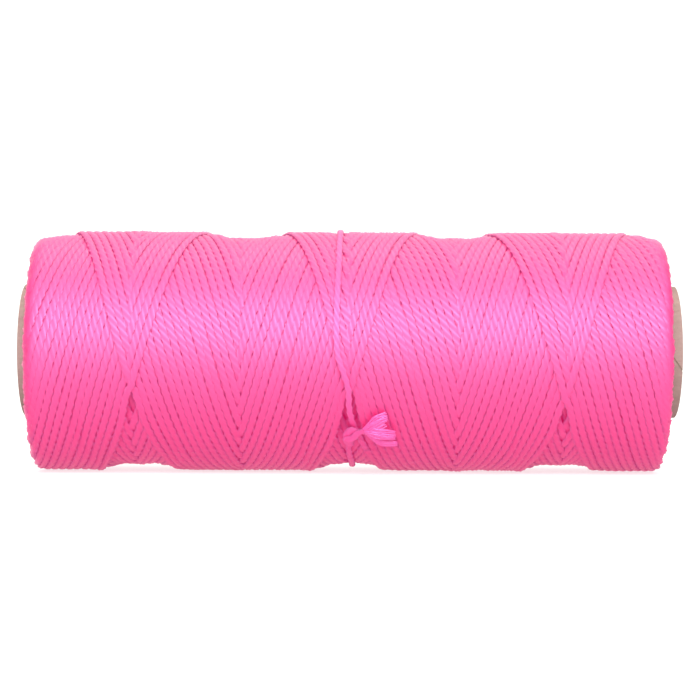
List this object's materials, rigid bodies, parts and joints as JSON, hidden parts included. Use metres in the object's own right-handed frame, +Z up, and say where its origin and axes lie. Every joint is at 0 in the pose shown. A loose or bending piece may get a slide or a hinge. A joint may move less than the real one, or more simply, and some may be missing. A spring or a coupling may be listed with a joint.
{
  "type": "fishing line spool",
  "caption": "Flangeless spool of twisted pink nylon line, cross-wound on a plain spiral paper tube and tied off round the middle.",
  "frame": {"origin": "centre of the paper tube's bore, at half the tube's length", "axes": "+X along the tube and its bore, +Z up, -Y towards the side that carries the tie's knot"},
  "size_m": [0.139, 0.0516, 0.0516],
  "materials": {
    "nylon_line": "satin",
    "tube_cover_paper": "matte",
    "tube_board": "matte",
    "tube_liner_paper": "matte"
  },
  "bodies": {
    "root": {"core_inner_liner": "tube_liner_paper", "core_inner_ply": "tube_board", "core_outer_ply": "tube_board", "core_cover_ply": "tube_cover_paper", "wound_round_1": "nylon_line", "wound_round_2": "nylon_line", "wound_round_3": "nylon_line", "wound_round_4": "nylon_line", "wound_round_top": "nylon_line", "tie_wrap": "nylon_line", "tie_knot": "nylon_line", "tail_strand_upper": "nylon_line", "tail_strand_middle": "nylon_line", "tail_strand_lower": "nylon_line"}
  },
  "joints": []
}
